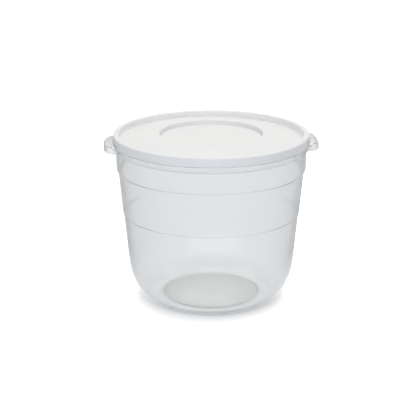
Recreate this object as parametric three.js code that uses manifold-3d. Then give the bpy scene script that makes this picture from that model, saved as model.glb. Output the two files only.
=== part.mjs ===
// Round storage container with a lift-off lid and two finger lugs.
// Millimetres, +Z up, table at z = 0, lugs along X.

import * as THREE from 'three';
import { mergeVertices } from 'three/addons/utils/BufferGeometryUtils.js';
import Module from 'manifold-3d';

const wasm = await Module();
wasm.setup();

// Overall sizes
const TOTAL_HEIGHT = 201.6;
const LID_RADIUS = 115;
const SEGMENTS = 64;

// Container wall
const WALL = 1.8;
const FLOOR = 2.2;
const DRAFT = 0.0915;
const UPPER_DRAFT = 0.016;
const RIM_TO_LID_TOP = 2.0;

// Foot and rounded heel
const FOOT_RADIUS = 57;
const FOOT_EDGE = 0.8;
const FOOT_HEIGHT = 2;
const HEEL_WIDTH = 24.5;
const HEEL_HEIGHT = 43;
const HEEL_STEPS = 9;

// Two ring steps round the wall, and the plain bands above them
const UPPER_BAND = 24.4;
const UPPER_RING_RISE = 2.4;
const UPPER_RING_OUT = 2.1;
const MIDDLE_BAND = 50.8;
const LOWER_RING_RISE = 1;
const LOWER_RING_OUT = 0.9;

// Collar under the lid
const COLLAR_HEIGHT = 6;
const COLLAR_INSET = 0.4;
const COLLAR_EDGE = 0.7;
const COLLAR_GAP = 0.4;

// Lid
const LID_WALL = 1.9;
const LID_FIT = 0.6;
const LID_SEAT = 0.3;
const SKIRT_DEPTH = 10.6;
const SKIRT_EDGE = 0.6;
const BEAD_ROUND = 2.2;
const BEAD_INNER_ROUND = 1.2;
const CHANNEL_WALL = 1.6;
const PANEL = 1.8;
const PANEL_EDGE_DEPTH = 8;
const CROWN_DEPTH = 0.6;
const EDGE_FILLET = 1.2;
const STACK_GAP = 2;
const RECESS_SLOPE = 1.6;
const RECESS_FLOOR_DEPTH = 6;
const RECESS_ROUND = 1;

// Gate marks left at the middle of both mouldings
const GATE_RADIUS = 2.2;
const GATE_DEPTH = 0.5;

// Finger lugs, which stand beside the lid's skirt
const LUG_OUT = 11.4;
const LUG_HALF_WIDTH = 30.5;
const LUG_HEIGHT = 8.8;
const LUG_ABOVE_SKIRT = 2;
const LUG_CORNER = 14;
const LUG_TOP_ROUND = 3.6;
const LUG_BOTTOM_ROUND = 1.2;
const LUG_SKIRT = 2.2;
const LUG_WEB = 1.9;
const LUG_FIT = 0.6;
const LUG_ROOT = 0.9;

// Sizes that follow from the ones above
const SKIRT_BOTTOM = TOTAL_HEIGHT - SKIRT_DEPTH;
const COLLAR_TOP = SKIRT_BOTTOM - COLLAR_GAP;
const RIM_RADIUS = LID_RADIUS - LID_WALL - LID_FIT;
const RIM_TOP = TOTAL_HEIGHT - RIM_TO_LID_TOP;
const CHANNEL_ROOF = RIM_TOP + LID_SEAT;
const CHANNEL_RADIUS = RIM_RADIUS - WALL - LID_FIT;
const PANEL_RADIUS = CHANNEL_RADIUS - CHANNEL_WALL;
const COLLAR_RADIUS = LID_RADIUS - COLLAR_INSET;
const COLLAR_BOTTOM = COLLAR_TOP - COLLAR_HEIGHT;
const UPPER_RING_Z = COLLAR_BOTTOM - UPPER_BAND - UPPER_RING_RISE;
const LOWER_RING_Z = UPPER_RING_Z - MIDDLE_BAND - LOWER_RING_RISE;
const RECESS_FLOOR_RADIUS = FOOT_RADIUS + STACK_GAP;
const RECESS_TOP_RADIUS = RECESS_FLOOR_RADIUS + RECESS_SLOPE;
const LUG_REACH = LID_RADIUS + LUG_OUT;
const LUG_TOP = SKIRT_BOTTOM + LUG_ABOVE_SKIRT;
const LUG_BOTTOM = LUG_TOP - LUG_HEIGHT;

const white = new THREE.MeshStandardMaterial({ color: 0xe6e8e7, roughness: 0.4 });

function arcPoints(centreR, centreZ, radiusR, radiusZ, from, to, steps) {
  const points = [];
  for (let i = 0; i <= steps; i += 1) {
    const angle = THREE.MathUtils.degToRad(from + ((to - from) * i) / steps);
    points.push([centreR + radiusR * Math.cos(angle), centreZ + radiusZ * Math.sin(angle)]);
  }
  return points;
}

function lathe(profile) {
  const points = profile.map(([r, z]) => new THREE.Vector2(r, z));
  const geometry = new THREE.LatheGeometry(points, SEGMENTS);
  geometry.rotateX(Math.PI / 2);
  return geometry;
}

function toSolid(geometry) {
  const bare = geometry.clone();
  bare.deleteAttribute('normal');
  bare.deleteAttribute('uv');
  const merged = mergeVertices(bare, 1e-5);
  const vertProperties = new Float32Array(merged.attributes.position.array);
  const triVerts = new Uint32Array(merged.index.array);
  const mesh = new wasm.Mesh({ numProp: 3, vertProperties, triVerts });
  return new wasm.Manifold(mesh);
}

function toGeometry(solid) {
  const mesh = solid.getMesh();
  const geometry = new THREE.BufferGeometry();
  geometry.setAttribute('position', new THREE.BufferAttribute(mesh.vertProperties, 3));
  geometry.setIndex(new THREE.BufferAttribute(mesh.triVerts, 1));
  geometry.computeVertexNormals();
  return geometry;
}

function named(name, geometry) {
  const mesh = new THREE.Mesh(geometry, white);
  mesh.name = name;
  return mesh;
}

// Outer radius of the straight band above the upper ring, up to the rim
function upperRadius(z) {
  return RIM_RADIUS - UPPER_DRAFT * (RIM_TOP - z);
}

// Both ring steps from the lower one up, as [radius, height], each reckoned from the rim down
function ringSteps() {
  const bandStart = UPPER_RING_Z + UPPER_RING_RISE;
  const middleTop = upperRadius(bandStart) - UPPER_RING_OUT;
  const middle = middleTop - DRAFT * MIDDLE_BAND;
  return [
    [middle - LOWER_RING_OUT, LOWER_RING_Z],
    [middle, LOWER_RING_Z + LOWER_RING_RISE],
    [middleTop, UPPER_RING_Z],
    [upperRadius(bandStart), bandStart],
  ];
}

// Where the lower wall would meet the underside if the heel were sharp
function baseRadius() {
  const [r, z] = ringSteps()[0];
  return r - DRAFT * (z - FOOT_HEIGHT);
}

// Rounded heel, moved in by the wall and up by the floor for the inside face
function heel(inset, lift) {
  const steep = arcPoints(0, 0, HEEL_WIDTH - inset, HEEL_HEIGHT - lift, 270, 360, HEEL_STEPS);
  return steep.map(([r, z]) => {
    const height = HEEL_HEIGHT + z;
    return [baseRadius() - HEEL_WIDTH + r + DRAFT * height, FOOT_HEIGHT + height];
  });
}

function containerProfile() {
  const inside = ringSteps().map(([r, z]) => [r - WALL, z]);
  return [
    [0, GATE_DEPTH],
    [GATE_RADIUS, GATE_DEPTH],
    [GATE_RADIUS, 0],
    [FOOT_RADIUS - FOOT_EDGE, 0],
    [FOOT_RADIUS, FOOT_EDGE],
    [FOOT_RADIUS, FOOT_HEIGHT],
    ...heel(0, 0),
    ...ringSteps(),
    [upperRadius(COLLAR_BOTTOM), COLLAR_BOTTOM],
    [COLLAR_RADIUS - COLLAR_EDGE, COLLAR_BOTTOM],
    [COLLAR_RADIUS, COLLAR_BOTTOM + COLLAR_EDGE],
    [COLLAR_RADIUS, COLLAR_TOP],
    [upperRadius(COLLAR_TOP), COLLAR_TOP],
    ...arcPoints(RIM_RADIUS - WALL / 2, RIM_TOP - WALL / 2, WALL / 2, WALL / 2, 0, 180, 4),
    ...inside.reverse(),
    ...heel(WALL, FLOOR).reverse(),
    [0, FOOT_HEIGHT + FLOOR],
  ];
}

// Panel of the lid: nearly flat by the recess, falling towards the edge
function crown(drop) {
  const inner = RECESS_TOP_RADIUS + RECESS_ROUND;
  const outer = PANEL_RADIUS - EDGE_FILLET;
  const points = [];
  for (let i = 0; i <= 6; i += 1) {
    const t = i / 6;
    const depth = CROWN_DEPTH + (PANEL_EDGE_DEPTH - CROWN_DEPTH) * t * t;
    points.push([inner + (outer - inner) * t, TOTAL_HEIGHT - depth - drop]);
  }
  return points;
}

function lidProfile() {
  const recessFloor = TOTAL_HEIGHT - RECESS_FLOOR_DEPTH;
  const crownTop = TOTAL_HEIGHT - CROWN_DEPTH;
  const under = crown(PANEL);
  const edgeUnder = under[under.length - 1][1];
  return [
    [0, recessFloor - PANEL],
    [RECESS_FLOOR_RADIUS + PANEL, recessFloor - PANEL],
    [RECESS_TOP_RADIUS + PANEL, crownTop - PANEL - RECESS_ROUND],
    ...under.slice(1, 6),
    [CHANNEL_RADIUS - SKIRT_EDGE, edgeUnder],
    [CHANNEL_RADIUS, edgeUnder + SKIRT_EDGE],
    [CHANNEL_RADIUS, CHANNEL_ROOF],
    [LID_RADIUS - LID_WALL, CHANNEL_ROOF],
    [LID_RADIUS - LID_WALL, SKIRT_BOTTOM],
    [LID_RADIUS - SKIRT_EDGE, SKIRT_BOTTOM],
    [LID_RADIUS, SKIRT_BOTTOM + SKIRT_EDGE],
    ...arcPoints(LID_RADIUS - BEAD_ROUND, TOTAL_HEIGHT - BEAD_ROUND, BEAD_ROUND, BEAD_ROUND, 0, 90, 5),
    ...arcPoints(
      PANEL_RADIUS + BEAD_INNER_ROUND,
      TOTAL_HEIGHT - BEAD_INNER_ROUND,
      BEAD_INNER_ROUND,
      BEAD_INNER_ROUND,
      90,
      180,
      3,
    ),
    [PANEL_RADIUS, TOTAL_HEIGHT - PANEL_EDGE_DEPTH + EDGE_FILLET],
    ...crown(0).reverse(),
    [RECESS_TOP_RADIUS + RECESS_ROUND / 3, crownTop - RECESS_ROUND / 3],
    [RECESS_TOP_RADIUS, crownTop - RECESS_ROUND],
    [RECESS_FLOOR_RADIUS, recessFloor],
    [GATE_RADIUS, recessFloor],
    [GATE_RADIUS, recessFloor - GATE_DEPTH],
    [0, recessFloor - GATE_DEPTH],
  ];
}

// Plan outline of one lug: an arc about the container's axis with rounded corners
function lugShape(inset) {
  const reach = LUG_REACH - inset;
  const half = LUG_HALF_WIDTH - inset;
  const corner = LUG_CORNER - inset;
  const cornerX = Math.sqrt((reach - corner) ** 2 - (half - corner) ** 2);
  const cornerAngle = Math.atan2(half - corner, cornerX);
  const shape = new THREE.Shape();
  shape.moveTo(COLLAR_RADIUS - 2 * LUG_CORNER, -half);
  shape.lineTo(cornerX, -half);
  shape.absarc(cornerX, -(half - corner), corner, -Math.PI / 2, -cornerAngle, false);
  shape.absarc(0, 0, reach, -cornerAngle, cornerAngle, false);
  shape.absarc(cornerX, half - corner, corner, cornerAngle, Math.PI / 2, false);
  shape.lineTo(COLLAR_RADIUS - 2 * LUG_CORNER, half);
  shape.closePath();
  return shape;
}

function slab(shape, bottom, top, options) {
  const geometry = new THREE.ExtrudeGeometry(shape, {
    depth: top - bottom,
    curveSegments: 5,
    bevelEnabled: false,
    ...options,
  });
  geometry.translate(0, 0, bottom);
  return toSolid(geometry);
}

function cylinder(radius, bottom, top) {
  return toSolid(lathe([[0, bottom], [radius, bottom], [radius, top], [0, top]]));
}

function bevel(size, segments) {
  return {
    bevelEnabled: true,
    bevelThickness: size,
    bevelSize: size,
    bevelOffset: -size,
    bevelSegments: segments,
  };
}

// Outside of one lug: rounded along its top edge and a little along its bottom edge
function lugOutside() {
  const low = LUG_BOTTOM - 3 * LUG_TOP_ROUND;
  const high = LUG_TOP + 3 * LUG_TOP_ROUND;
  const roundedTop = slab(lugShape(0), low, LUG_TOP - LUG_TOP_ROUND, bevel(LUG_TOP_ROUND, 4));
  const roundedBottom = slab(lugShape(0), LUG_BOTTOM + LUG_BOTTOM_ROUND, high, bevel(LUG_BOTTOM_ROUND, 2));
  return roundedTop.intersect(roundedBottom);
}

// Lug: a web with a turned-down rim, open underneath for the fingers as far in as the collar.
// Beside the lid's skirt the web steps down to a ledge that joins the top of the collar.
function lug() {
  const below = LUG_BOTTOM - LUG_HEIGHT;
  const above = LUG_TOP + LUG_HEIGHT;
  const collar = cylinder(COLLAR_RADIUS - LUG_ROOT, below, above);
  const ledge = cylinder(LID_RADIUS + LUG_FIT + LUG_SKIRT, COLLAR_TOP - LUG_WEB, above);
  const hollow = slab(lugShape(LUG_SKIRT), below, LUG_TOP - LUG_WEB).subtract(ledge).subtract(collar);
  const container = cylinder(upperRadius(LUG_BOTTOM) - LUG_ROOT, below, above);
  const lidSpace = cylinder(LID_RADIUS + LUG_FIT, COLLAR_TOP, above);
  return lugOutside().subtract(hollow).subtract(container).subtract(lidSpace);
}

function containerBody() {
  const right = lug();
  const left = right.rotate([0, 0, 180]);
  const shell = toSolid(lathe(containerProfile()));
  return named('container_body', toGeometry(shell.add(right).add(left)));
}

function lid() {
  return named('lid', toGeometry(toSolid(lathe(lidProfile()))));
}

const part = new THREE.Group();
part.name = 'storage_container';
part.add(containerBody());
part.add(lid());

export default part;
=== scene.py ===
import math

import bmesh
import bpy
from mathutils import Matrix, Vector


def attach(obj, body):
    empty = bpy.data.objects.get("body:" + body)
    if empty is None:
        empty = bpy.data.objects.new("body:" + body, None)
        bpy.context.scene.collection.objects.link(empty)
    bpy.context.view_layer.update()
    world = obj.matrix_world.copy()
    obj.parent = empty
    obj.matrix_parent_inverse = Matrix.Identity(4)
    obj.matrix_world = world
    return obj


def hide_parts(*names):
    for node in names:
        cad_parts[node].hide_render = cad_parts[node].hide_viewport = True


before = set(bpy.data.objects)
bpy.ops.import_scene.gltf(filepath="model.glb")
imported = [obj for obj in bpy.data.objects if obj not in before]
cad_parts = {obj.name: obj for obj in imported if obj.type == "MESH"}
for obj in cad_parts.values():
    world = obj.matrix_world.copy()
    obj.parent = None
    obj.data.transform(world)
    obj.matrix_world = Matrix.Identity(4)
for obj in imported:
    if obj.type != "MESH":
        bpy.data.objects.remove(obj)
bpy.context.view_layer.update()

MM = 0.001
SEGMENTS = 240

# Sizes in millimetres, as in the solids
TOTAL_HEIGHT = 201.6
LID_RADIUS = 115

# Walls of the container
WALL = 1.8
FLOOR = 2.2
DRAFT = 0.0915
UPPER_DRAFT = 0.016
RIM_TO_LID_TOP = 2

# Foot and heel
FOOT_RADIUS = 57
FOOT_SLOPE = 0.2
FOOT_HEIGHT = 2
HEEL_WIDTH = 24.5
HEEL_HEIGHT = 43
HEEL_STEPS = 36

# Ring steps
UPPER_BAND = 24.4
UPPER_RING_RISE = 2.4
UPPER_RING_OUT = 2.1
MIDDLE_BAND = 50.8
LOWER_RING_RISE = 1
LOWER_RING_OUT = 0.9
RING_ROUNDS = (1.2, 1.0, 1.0, 1.4)
RING_ROUND_INSIDE = 1.2

# Collar
COLLAR_HEIGHT = 6
COLLAR_INSET = 0.4
COLLAR_GAP = 0.4

# Lid
LID_WALL = 1.9
LID_FIT = 0.6
LID_SEAT = 0.3
SKIRT_DEPTH = 10.6
CHANNEL_WALL = 1.6
PANEL = 1.8
PANEL_EDGE_DEPTH = 8
CROWN_DEPTH = 0.6
CROWN_STEPS = 18
EDGE_FILLET = 1.2
STACK_GAP = 2
RECESS_SLOPE = 1.6
RECESS_FLOOR_DEPTH = 6
RECESS_ROUND = 1
RECESS_LIP = 0.1
RECESS_UNDER_DEPTH = 3

# Gate marks
GATE_RADIUS = 2.2
GATE_DEPTH = 0.5
FOOT_GATE_SLOPE = 0.4
LID_GATE_SLOPE = 0.5

# Finger lugs
LUG_OUT = 11.4
LUG_HALF_WIDTH = 30.5
LUG_HEIGHT = 8.8
LUG_ABOVE_SKIRT = 2
LUG_CORNER = 14
LUG_CORNER_STEPS = 12
LUG_ARC_STEPS = 24
LUG_START = 98
LUG_LEAD = 6
LUG_TOP_ROUND = 3.6
LUG_BOTTOM_ROUND = 1.2
LUG_SKIRT = 2.2
LUG_WEB = 1.9
LUG_FIT = 0.6
LUG_ROOT = 0.9
HOLLOW_ROUND = 1.8
HOLLOW_FLARE = 0.1
HOLLOW_PAST = 2
CUT_PAST = 6

# Levels and radii that follow
SKIRT_BOTTOM = TOTAL_HEIGHT - SKIRT_DEPTH
COLLAR_TOP = SKIRT_BOTTOM - COLLAR_GAP
COLLAR_BOTTOM = COLLAR_TOP - COLLAR_HEIGHT
COLLAR_RADIUS = LID_RADIUS - COLLAR_INSET
UPPER_RING_Z = COLLAR_BOTTOM - UPPER_BAND - UPPER_RING_RISE
LOWER_RING_Z = UPPER_RING_Z - MIDDLE_BAND - LOWER_RING_RISE
RIM_RADIUS = LID_RADIUS - LID_WALL - LID_FIT
RIM_TOP = TOTAL_HEIGHT - RIM_TO_LID_TOP
CHANNEL_ROOF = RIM_TOP + LID_SEAT
CHANNEL_RADIUS = RIM_RADIUS - WALL - LID_FIT
PANEL_RADIUS = CHANNEL_RADIUS - CHANNEL_WALL
RECESS_FLOOR_RADIUS = FOOT_RADIUS + STACK_GAP
RECESS_TOP_RADIUS = RECESS_FLOOR_RADIUS + RECESS_SLOPE
LUG_REACH = LID_RADIUS + LUG_OUT
LUG_TOP = SKIRT_BOTTOM + LUG_ABOVE_SKIRT
LUG_BOTTOM = LUG_TOP - LUG_HEIGHT

# Rounding: half the angle in radians between a corner's sides, past which it is nearly straight;
# the most that a corner takes up of each side; and the turn of one step
NEARLY_STRAIGHT = 1.5
CORNER_SHARE = 0.49
DEGREES_PER_STEP = 12
TINY = 1e-5


def fillet(points):
    """Rounds the corners of a profile of (radius, height, corner radius)."""
    out = []
    last = len(points) - 1
    for i, (r, z, size) in enumerate(points):
        here = Vector((r, z))
        if size == 0 or i in (0, last):
            out.append(here)
            continue
        before = Vector(points[i - 1][:2]) - here
        after = Vector(points[i + 1][:2]) - here
        a = before.normalized()
        b = after.normalized()
        half = a.angle(b) / 2
        room = CORNER_SHARE * min(before.length, after.length)
        back = min(size / math.tan(half), room)
        radius = back * math.tan(half)
        centre = here + (a + b).normalized() * (radius / math.sin(half))
        start = (here + a * back - centre).normalized()
        end = (here + b * back - centre).normalized()
        steps = max(3, int(math.degrees(math.pi - 2 * half) / DEGREES_PER_STEP))
        for k in range(steps + 1):
            t = k / steps
            if half < NEARLY_STRAIGHT:
                spoke = start.slerp(end, t)
            else:
                spoke = start.lerp(end, t).normalized()
            out.append(centre + spoke * radius)
    return out


def even(points, longest=6.0, hold=0.35):
    """Adds points on long straight runs, and one close to each end so that shading stays local."""
    out = [points[0]]
    for a, b in zip(points, points[1:]):
        length = (b - a).length
        if length < TINY:
            continue
        marks = []
        if length > 4 * hold:
            marks = [hold / length]
            count = int(length / longest)
            marks += [(k + 1) / (count + 1) for k in range(count)]
            marks.append(1 - hold / length)
        out += [a.lerp(b, t) for t in sorted(marks)]
        out.append(b)
    return out


def to_object(name, bm):
    bmesh.ops.recalc_face_normals(bm, faces=bm.faces)
    mesh = bpy.data.meshes.new(name)
    bm.to_mesh(mesh)
    bm.free()
    obj = bpy.data.objects.new(name, mesh)
    bpy.context.scene.collection.objects.link(obj)
    return obj


def lathe(name, profile):
    """Closed body turned about +Z from a profile that starts and ends on the axis."""
    bm = bmesh.new()
    rings = []
    for p in profile:
        if p.x < TINY:
            rings.append([bm.verts.new((0, 0, p.y * MM))])
            continue
        ring = []
        for k in range(SEGMENTS):
            angle = 2 * math.pi * k / SEGMENTS
            ring.append(bm.verts.new((p.x * MM * math.cos(angle), p.x * MM * math.sin(angle), p.y * MM)))
        rings.append(ring)
    for low, high in zip(rings, rings[1:]):
        for k in range(SEGMENTS):
            n = (k + 1) % SEGMENTS
            corners = [low[k % len(low)], low[n % len(low)], high[n % len(high)], high[k % len(high)]]
            # a ring on the axis is one point, which leaves a triangle
            face = list(dict.fromkeys(corners))
            if len(face) > 2:
                bm.faces.new(face)
    return to_object(name, bm)


def loft(name, layers):
    """Closed body through outlines of equal length, each (points, height)."""
    bm = bmesh.new()
    rings = [[bm.verts.new((p.x * MM, p.y * MM, z * MM)) for p in points] for points, z in layers]
    bm.faces.new(rings[0][::-1])
    bm.faces.new(rings[-1])
    count = len(rings[0])
    for low, high in zip(rings, rings[1:]):
        for k in range(count):
            n = (k + 1) % count
            bm.faces.new((low[k], low[n], high[n], high[k]))
    return to_object(name, bm)


def bore(name, radius, low, high):
    """Plain round tool for a cut, about the axis."""
    return lathe(name, [Vector(p) for p in ((0, low), (radius, low), (radius, high), (0, high))])


def boolean(obj, tool, operation):
    modifier = obj.modifiers.new("cut", "BOOLEAN")
    modifier.operation = operation
    modifier.solver = "EXACT"
    modifier.object = tool
    depsgraph = bpy.context.evaluated_depsgraph_get()
    mesh = bpy.data.meshes.new_from_object(obj.evaluated_get(depsgraph))
    obj.modifiers.remove(modifier)
    obj.data = mesh
    bpy.data.objects.remove(tool)


def smooth(obj, angle):
    obj.data.polygons.foreach_set("use_smooth", [True] * len(obj.data.polygons))
    obj.data.set_sharp_from_angle(angle=math.radians(angle))


# Container profile

def upper_radius(z):
    return RIM_RADIUS - UPPER_DRAFT * (RIM_TOP - z)


def ring_steps():
    """Radius and height of the wall at both ends of the two ring steps, from the lowest up."""
    band_start = UPPER_RING_Z + UPPER_RING_RISE
    middle_top = upper_radius(band_start) - UPPER_RING_OUT
    middle = middle_top - DRAFT * MIDDLE_BAND
    return [
        (middle - LOWER_RING_OUT, LOWER_RING_Z),
        (middle, LOWER_RING_Z + LOWER_RING_RISE),
        (middle_top, UPPER_RING_Z),
        (upper_radius(band_start), band_start),
    ]


def heel(inset, lift):
    """Quarter of an ellipse from the foot up to the wall: outside, or set in and raised for the inside."""
    r, z = ring_steps()[0]
    base = r - DRAFT * (z - FOOT_HEIGHT)
    points = []
    for i in range(HEEL_STEPS + 1):
        angle = math.radians(270 + 90 * i / HEEL_STEPS)
        height = HEEL_HEIGHT + (HEEL_HEIGHT - lift) * math.sin(angle)
        radius = base - HEEL_WIDTH + (HEEL_WIDTH - inset) * math.cos(angle) + DRAFT * height
        points.append((radius, FOOT_HEIGHT + height, 0))
    return points


def container_profile():
    line = ring_steps()
    outside = [(r, z, size) for (r, z), size in zip(line, RING_ROUNDS)]
    inside = [(r - WALL, z, RING_ROUND_INSIDE) for r, z in line][::-1]
    points = [
        (0, GATE_DEPTH, 0),
        (GATE_RADIUS - FOOT_GATE_SLOPE, GATE_DEPTH, 0.2),
        (GATE_RADIUS, 0, 0.2),
        (FOOT_RADIUS, 0, 0.9),
        (FOOT_RADIUS + FOOT_SLOPE, FOOT_HEIGHT, 0.5),
        *heel(0, 0),
        *outside,
        (upper_radius(COLLAR_BOTTOM), COLLAR_BOTTOM, 0.6),
        (COLLAR_RADIUS, COLLAR_BOTTOM, 0.7),
        (COLLAR_RADIUS, COLLAR_TOP, 0.15),
        (upper_radius(COLLAR_TOP), COLLAR_TOP, 0.2),
        (RIM_RADIUS, RIM_TOP, 0.85),
        (RIM_RADIUS - WALL, RIM_TOP, 0.85),
        *inside,
        *heel(WALL, FLOOR)[::-1],
        (0, FOOT_HEIGHT + FLOOR, 0),
    ]
    return even(fillet(points))


# Lid profile

def crown(drop):
    """The panel from the recess to its edge, which falls more and more steeply."""
    inner = RECESS_TOP_RADIUS + RECESS_ROUND
    outer = PANEL_RADIUS - EDGE_FILLET
    points = []
    for i in range(CROWN_STEPS + 1):
        t = i / CROWN_STEPS
        depth = CROWN_DEPTH + (PANEL_EDGE_DEPTH - CROWN_DEPTH) * t * t
        points.append((inner + (outer - inner) * t, TOTAL_HEIGHT - depth - drop, 0))
    return points


def lid_profile():
    top = TOTAL_HEIGHT
    recess_floor = top - RECESS_FLOOR_DEPTH
    upper = crown(0)
    under = crown(PANEL)
    points = [
        (0, recess_floor - PANEL, 0),
        (RECESS_FLOOR_RADIUS + PANEL, recess_floor - PANEL, 1.2),
        (RECESS_TOP_RADIUS + PANEL, top - RECESS_UNDER_DEPTH, 0.8),
        *under[2:-2],
        (CHANNEL_RADIUS, under[-1][1], 0.6),
        (CHANNEL_RADIUS, CHANNEL_ROOF, 0.3),
        (LID_RADIUS - LID_WALL, CHANNEL_ROOF, 0.3),
        (LID_RADIUS - LID_WALL, SKIRT_BOTTOM, 0.4),
        (LID_RADIUS, SKIRT_BOTTOM, 0.2),
        (LID_RADIUS, top, 2.2),
        (PANEL_RADIUS, top, 1.4),
        (PANEL_RADIUS, upper[-1][1], 1.2),
        *upper[::-1][1:],
        (RECESS_TOP_RADIUS + RECESS_LIP, top - CROWN_DEPTH, 0.7),
        (RECESS_FLOOR_RADIUS, recess_floor, 1.2),
        (GATE_RADIUS, recess_floor, 0.3),
        (GATE_RADIUS - LID_GATE_SLOPE, recess_floor - GATE_DEPTH, 0.3),
        (0, recess_floor - GATE_DEPTH, 0),
    ]
    return even(fillet(points))


# Finger lugs

def lug_outline(inset):
    """The right lug from above: an arc about the container's axis between two round corners."""
    reach = LUG_REACH - inset
    half = LUG_HALF_WIDTH - inset
    corner = LUG_CORNER - inset
    x = math.sqrt((reach - corner) ** 2 - (half - corner) ** 2)
    turn = math.atan2(half - corner, x)
    points = [Vector((LUG_START, -half)), Vector((x - LUG_LEAD, -half))]
    for k in range(LUG_CORNER_STEPS + 1):
        a = -math.pi / 2 + (math.pi / 2 - turn) * k / LUG_CORNER_STEPS
        points.append(Vector((x + corner * math.cos(a), -(half - corner) + corner * math.sin(a))))
    for k in range(1, LUG_ARC_STEPS):
        a = -turn + 2 * turn * k / LUG_ARC_STEPS
        points.append(Vector((reach * math.cos(a), reach * math.sin(a))))
    for k in range(LUG_CORNER_STEPS + 1):
        a = turn + (math.pi / 2 - turn) * k / LUG_CORNER_STEPS
        points.append(Vector((x + corner * math.cos(a), half - corner + corner * math.sin(a))))
    points += [Vector((x - LUG_LEAD, half)), Vector((LUG_START, half))]
    return points


def quarter_turn(steps):
    """Sine and cosine of the angles from 0 to 90 degrees."""
    angles = [math.radians(90 * k / steps) for k in range(steps + 1)]
    return [(math.sin(a), math.cos(a)) for a in angles]


def lug(name, mirrored):
    """A web with a turned-down rim, open underneath, with the space for collar and lid cut away."""
    layers = []
    for sine, cosine in quarter_turn(steps=4):
        outline = lug_outline(LUG_BOTTOM_ROUND * (1 - sine))
        layers.append((outline, LUG_BOTTOM + LUG_BOTTOM_ROUND * (1 - cosine)))
    layers.append((lug_outline(0), (LUG_BOTTOM + LUG_BOTTOM_ROUND + LUG_TOP - LUG_TOP_ROUND) / 2))
    for sine, cosine in quarter_turn(steps=10):
        outline = lug_outline(LUG_TOP_ROUND * (1 - cosine))
        layers.append((outline, LUG_TOP - LUG_TOP_ROUND + LUG_TOP_ROUND * sine))
    outer = loft(name, layers)

    hollow_side = LUG_TOP - LUG_WEB - HOLLOW_ROUND
    layers = [(lug_outline(LUG_SKIRT - HOLLOW_FLARE), LUG_BOTTOM - HOLLOW_PAST)]
    for sine, cosine in quarter_turn(steps=6):
        outline = lug_outline(LUG_SKIRT + HOLLOW_ROUND * (1 - cosine))
        layers.append((outline, hollow_side + HOLLOW_ROUND * sine))
    hollow = loft("hollow", layers)

    low = LUG_BOTTOM - CUT_PAST
    high = LUG_TOP + CUT_PAST
    ledge_radius = LID_RADIUS + LUG_FIT + LUG_SKIRT
    inside_radius = upper_radius(LUG_BOTTOM) - LUG_ROOT
    boolean(hollow, bore("ledge", ledge_radius, COLLAR_TOP - LUG_WEB, high), "DIFFERENCE")
    boolean(hollow, bore("collar", COLLAR_RADIUS - LUG_ROOT, low, high), "DIFFERENCE")
    boolean(outer, hollow, "DIFFERENCE")
    boolean(outer, bore("container_space", inside_radius, low, high), "DIFFERENCE")
    boolean(outer, bore("lid_space", LID_RADIUS + LUG_FIT, COLLAR_TOP, high), "DIFFERENCE")
    if mirrored:
        outer.data.transform(Matrix.Rotation(math.pi, 4, "Z"))
    return outer


body = lathe("container_shell", container_profile())
boolean(body, lug("lug_right", False), "UNION")
boolean(body, lug("lug_left", True), "UNION")
smooth(body, angle=35)
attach(body, "container")
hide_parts("container_body")

lid = lathe("lid_shell", lid_profile())
smooth(lid, angle=60)
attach(lid, "lid")
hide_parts("lid")


# Node helpers: each gives an output that can be linked on

def mapped(nodes, links, source, span, result):
    """The source's value, taken from one range to another and held at its ends."""
    node = nodes.new("ShaderNodeMapRange")
    node.inputs["From Min"].default_value = span[0]
    node.inputs["From Max"].default_value = span[1]
    node.inputs["To Min"].default_value = result[0]
    node.inputs["To Max"].default_value = result[1]
    links.new(source, node.inputs["Value"])
    return node.outputs["Result"]


def calculated(nodes, links, operation, *values):
    node = nodes.new("ShaderNodeMath")
    node.operation = operation
    for socket, value in zip(node.inputs, values):
        if isinstance(value, bpy.types.NodeSocket):
            links.new(value, socket)
        else:
            socket.default_value = value
    return node.outputs[0]


def noise(nodes, links, place, scale, detail):
    node = nodes.new("ShaderNodeTexNoise")
    node.inputs["Scale"].default_value = scale
    node.inputs["Detail"].default_value = detail
    links.new(place.outputs["Object"], node.inputs["Vector"])
    return node.outputs["Fac"]


# Materials

PLASTIC_IOR = 1.49
SKIN_IOR = 1.08
SKIN_ROUGHNESS = 0.1
MOTTLE = 0.008
# Noises as (scale, detail)
FLOW_NOISE = (9, 3)
GLOSS_NOISE = (45, 2)
GLOSS_SPAN = (0.3, 0.7)
GRAIN_NOISE = (900, 2)
GRAIN_STRENGTH = 0.012
GRAIN_DEPTH = 0.0002


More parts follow.
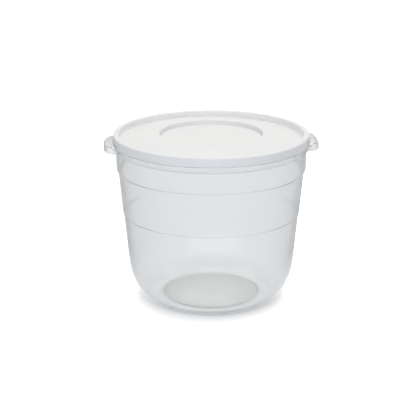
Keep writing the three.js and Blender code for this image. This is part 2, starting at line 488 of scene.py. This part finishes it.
def plastic(name, colour, transmission, roughness, skin=None):
    """Milky moulded plastic: a faint flow mottle in the colour, uneven satin gloss, fine mould texture.

    The skin is a clear coat that takes more of the light at a slant, as the thickness of the wall does.
    """
    material = bpy.data.materials.new(name)
    material.use_nodes = True
    nodes = material.node_tree.nodes
    links = material.node_tree.links
    shader = nodes["Principled BSDF"]
    shader.inputs["IOR"].default_value = PLASTIC_IOR
    shader.inputs["Transmission Weight"].default_value = transmission
    if skin:
        shader.inputs["Coat Weight"].default_value = 1
        shader.inputs["Coat Roughness"].default_value = SKIN_ROUGHNESS
        shader.inputs["Coat IOR"].default_value = SKIN_IOR
        shader.inputs["Coat Tint"].default_value = (*skin, 1)
    place = nodes.new("ShaderNodeTexCoord")
    flow = nodes.new("ShaderNodeMix")
    flow.data_type = "RGBA"
    flow.inputs["A"].default_value = (*[c * (1 - MOTTLE) for c in colour], 1)
    flow.inputs["B"].default_value = (*[min(c * (1 + MOTTLE), 1) for c in colour], 1)
    links.new(noise(nodes, links, place, *FLOW_NOISE), flow.inputs["Factor"])
    links.new(flow.outputs["Result"], shader.inputs["Base Color"])
    gloss = mapped(nodes, links, noise(nodes, links, place, *GLOSS_NOISE), GLOSS_SPAN, roughness)
    links.new(gloss, shader.inputs["Roughness"])
    bump = nodes.new("ShaderNodeBump")
    bump.inputs["Strength"].default_value = GRAIN_STRENGTH
    bump.inputs["Distance"].default_value = GRAIN_DEPTH
    links.new(noise(nodes, links, place, *GRAIN_NOISE), bump.inputs["Height"])
    links.new(bump.outputs["Normal"], shader.inputs["Normal"])
    return material


def outwardness(face):
    """From 1 for a face that looks straight away from the axis to -1 for one that looks at it."""
    return face.normal.xy.dot(face.center.xy.normalized())


# How far a face of the container, and one of the lid's walls, has to look away from the axis or at it
ANY_TURN = 0.001
WALL_TURN = 0.5

# Where the container's looks change, in millimetres
FOOT_FACE_TOP = 1.1
FOOT_FACE_MARGIN = 0.5
RIM_MARGIN = 0.1
LUG_MARGIN = 3
ROOT_ASIDE = 20
ROOT_REACH = 4.2

OUTSIDE, FOOT, RIM, INSIDE, LUG, LUG_END = range(6)

body.data.materials.clear()
for look in (
    plastic("container_plastic", (1, 1, 1), 0.985, (0.09, 0.13), skin=(0.904, 0.911, 0.918)),
    # The foot's face is frosted. Its duller, darker look also stands in for painted shade where the foot
    # sits on the floor
    plastic("container_foot_frosted_painted_shade", (0.96, 0.975, 0.94), 0.92, (0.2, 0.26)),
    plastic("container_rim_milky", (0.985, 0.985, 0.99), 0.76, (0.14, 0.18)),
    plastic("container_inside", (1, 1, 1), 0.985, (0.09, 0.13)),
    plastic("container_lug_milky", (0.995, 0.995, 0.995), 0.79, (0.14, 0.18)),
    plastic("container_lug_root", (1, 1, 1), 0.3, (0.2, 0.24)),
):
    body.data.materials.append(look)
for face in body.data.polygons:
    height = face.center.z / MM
    radius = face.center.xy.length / MM
    aside = abs(face.center.y) / MM
    outward = outwardness(face) > ANY_TURN
    look = OUTSIDE if outward else INSIDE
    if height < FOOT_FACE_TOP and radius < FOOT_RADIUS + FOOT_FACE_MARGIN:
        # the foot's face: frosted, with painted shade where it sits on the floor
        look = FOOT
    elif height > LUG_BOTTOM - RIM_MARGIN:
        look = RIM
        if aside < LUG_HALF_WIDTH + LUG_MARGIN and radius > COLLAR_RADIUS - LUG_MARGIN:
            look = LUG
            if outward and aside > ROOT_ASIDE and radius < LID_RADIUS + ROOT_REACH:
                look = LUG_END
    face.material_index = look

# Where the lid's looks change, in millimetres
BEAD_MARGIN = 2
BEAD_DEPTH = 8
BAND_MARGIN = 2.5

PANEL_LOOK, BEAD_INSIDE, BAND = range(3)

lid.data.materials.clear()
for look in (
    plastic("lid_plastic", (0.885, 0.882, 0.87), 0, (0.35, 0.4)),
    # The bead's inner faces get a lighter copy of the lid's colour: painted light for light coming through
    # the rim, since the lid lets none through
    plastic("lid_rim_painted_light", (0.965, 0.965, 0.955), 0, (0.35, 0.4)),
    # The outer band is a bluer copy of the lid's colour: painted cool light from the front
    plastic("lid_band_painted_cool_light", (0.89, 0.892, 0.915), 0, (0.35, 0.4)),
):
    lid.data.materials.append(look)
for face in lid.data.polygons:
    height = face.center.z / MM
    radius = face.center.xy.length / MM
    at_bead = radius > PANEL_RADIUS - BEAD_MARGIN and height > CHANNEL_ROOF - BEAD_DEPTH
    look = PANEL_LOOK
    # inward faces of the bead take the painted light
    if at_bead and outwardness(face) < -WALL_TURN:
        look = BEAD_INSIDE
    # outward faces of the band take the painted cool light
    elif radius > LID_RADIUS - BAND_MARGIN and outwardness(face) > WALL_TURN:
        look = BAND
    face.material_index = look


# Floor and backdrop

FLOOR_HALF = 6
FLOOR_DROP = 0.0002
FLOOR_COLOUR = (0.92, 0.92, 0.92, 1)
# Contact shadow: how far it looks for the object, what counts as open, how dark it gets
SHADE_REACH = 0.05
SHADE_OPEN = 0.77
SHADE_DARKEST = 0.36
# White that is added where the camera sees the floor, and where a see-through wall does
SHOWN_WHITE = 0.87
THROUGH_WHITE = 0.97
# Painted reflection: a glow on the floor that only reflections see, by distance from the container's axis,
# strongest close by, which lights the heel's lower edge
GLEAM_SPAN = (0.1, 0.2)
GLEAM = (1.0, 0.05)
# Painted shade on the floor as seen through the heel: (distance, strength), about a point a little to the
# front, darkest round the foot
PAINTED_SHADE_CENTRE = (0, -0.008, 0)
PAINTED_SHADE_BENEATH = ((0.03, 0.96), (0.053, 0.83), (0.064, 0.8), (0.072, 0.94), (0.13, 1.0))


def shown_strength(nodes, links, camera, glossy, through):
    """Extra white for what the camera, a reflection or a see-through wall shows, so the shadow stays."""
    path = nodes.new("ShaderNodeLightPath")
    total = calculated(nodes, links, "MULTIPLY", path.outputs["Is Camera Ray"], camera)
    for output, strength in (("Is Glossy Ray", glossy), ("Is Transmission Ray", through)):
        part = calculated(nodes, links, "MULTIPLY", path.outputs[output], strength)
        total = calculated(nodes, links, "MAXIMUM", total, part)
    # none of it where the path has already left a matt surface: that would be light on the object
    direct = calculated(nodes, links, "LESS_THAN", path.outputs["Diffuse Depth"], 0.5)
    return calculated(nodes, links, "MULTIPLY", total, direct)


def floor_look():
    material = bpy.data.materials.new("floor_white")
    material.use_nodes = True
    nodes = material.node_tree.nodes
    links = material.node_tree.links
    shader = nodes["Principled BSDF"]
    shader.inputs["Base Color"].default_value = FLOOR_COLOUR
    shader.inputs["Roughness"].default_value = 0.9
    shader.inputs["Specular IOR Level"].default_value = 0
    shader.inputs["Emission Color"].default_value = (1, 1, 1, 1)
    contact = nodes.new("ShaderNodeAmbientOcclusion")
    contact.samples = 8
    contact.inputs["Distance"].default_value = SHADE_REACH
    shade = mapped(nodes, links, contact.outputs["AO"], (0, SHADE_OPEN), (SHADE_DARKEST, 1))
    place = nodes.new("ShaderNodeTexCoord")
    reach = nodes.new("ShaderNodeVectorMath")
    reach.operation = "LENGTH"
    links.new(place.outputs["Object"], reach.inputs[0])
    # painted glow close to the container, seen only in reflections
    near = mapped(nodes, links, reach.outputs["Value"], GLEAM_SPAN, GLEAM)
    lift = calculated(nodes, links, "MULTIPLY", shown_strength(nodes, links, SHOWN_WHITE, 0, 0), shade)
    gleam = calculated(nodes, links, "MULTIPLY_ADD", shown_strength(nodes, links, 0, 1, 0), near, lift)
    links.new(gleam, shader.inputs["Emission Strength"])
    under = nodes.new("ShaderNodeVectorMath")
    under.operation = "DISTANCE"
    under.inputs[1].default_value = PAINTED_SHADE_CENTRE
    links.new(place.outputs["Object"], under.inputs[0])
    painted_shade = nodes.new("ShaderNodeValToRGB")
    stops = painted_shade.color_ramp.elements
    while len(stops) < len(PAINTED_SHADE_BENEATH):
        stops.new(0.5)
    for stop, (distance, strength) in zip(stops, PAINTED_SHADE_BENEATH):
        stop.position = distance
        stop.color = (strength, strength, strength, 1)
    links.new(under.outputs["Value"], painted_shade.inputs["Fac"])
    glow = nodes.new("ShaderNodeEmission")
    links.new(painted_shade.outputs["Color"], glow.inputs["Strength"])
    mix = nodes.new("ShaderNodeMixShader")
    links.new(shown_strength(nodes, links, 0, 0, THROUGH_WHITE), mix.inputs["Fac"])
    links.new(shader.outputs["BSDF"], mix.inputs[1])
    links.new(glow.outputs["Emission"], mix.inputs[2])
    links.new(mix.outputs["Shader"], nodes["Material Output"].inputs["Surface"])
    return material


floor_mesh = bpy.data.meshes.new("floor")
corners = [(x * FLOOR_HALF, y * FLOOR_HALF, 0) for x, y in ((-1, -1), (1, -1), (1, 1), (-1, 1))]
floor_mesh.from_pydata(corners, [], [(0, 1, 2, 3)])
floor_mesh.materials.append(floor_look())
floor = bpy.data.objects.new("floor", floor_mesh)
floor.location.z = -FLOOR_DROP
bpy.context.scene.collection.objects.link(floor)

# The world lights the object weakly and is white where it shows
WORLD_LIGHT = 0.2

world = bpy.data.worlds.new("studio")
bpy.context.scene.world = world
world.use_nodes = True
world_nodes = world.node_tree.nodes
world_links = world.node_tree.links
background = world_nodes["Background"]
background.inputs["Color"].default_value = (1, 1, 1, 1)
world_shown = shown_strength(world_nodes, world_links, 1, 1, 1)
world_strength = mapped(world_nodes, world_links, world_shown, (0, 1), (WORLD_LIGHT, 1))
world_links.new(world_strength, background.inputs["Strength"])


# Light

def area(name, location, target, size, power, colour):
    light = bpy.data.lights.new(name, "AREA")
    light.color = colour
    light.shape = "RECTANGLE"
    light.size = size[0]
    light.size_y = size[1]
    light.energy = power
    lamp = bpy.data.objects.new(name, light)
    lamp.location = location
    lamp.rotation_euler = (Vector(target) - Vector(location)).to_track_quat("-Z", "Y").to_euler()
    bpy.context.scene.collection.objects.link(lamp)


area(
    "softbox_top", (0.2, 0.6, 2.2), target=(0, 0, 0.1),
    size=(2.4, 2.0), power=35, colour=(1, 0.995, 0.98),
)
area(
    "softbox_front", (-0.4, -2.6, 1.1), target=(0, 0, 0.12),
    size=(4.6, 2.9), power=50, colour=(0.89, 0.94, 1),
)

# Camera at the photograph's angle
CAMERA_TURN = math.radians(-4)
CAMERA_DOWN = math.radians(17.933)
CAMERA_PLACE = (-0.00134, -1.4262, 0.56716)
FOCAL_PIXELS = 1252.57
PHOTO_PIXELS = 420
SENSOR = 36

camera = bpy.data.cameras.new("camera")
camera.lens = SENSOR * FOCAL_PIXELS / PHOTO_PIXELS
camera.sensor_width = SENSOR
camera.sensor_fit = "HORIZONTAL"
camera_object = bpy.data.objects.new("camera", camera)
camera_object.location = Matrix.Rotation(CAMERA_TURN, 3, "Z") @ Vector(CAMERA_PLACE)
camera_object.rotation_euler = (math.pi / 2 - CAMERA_DOWN, 0, CAMERA_TURN)
bpy.context.scene.collection.objects.link(camera_object)
bpy.context.scene.camera = camera_object
bpy.context.scene.view_settings.view_transform = "Standard"
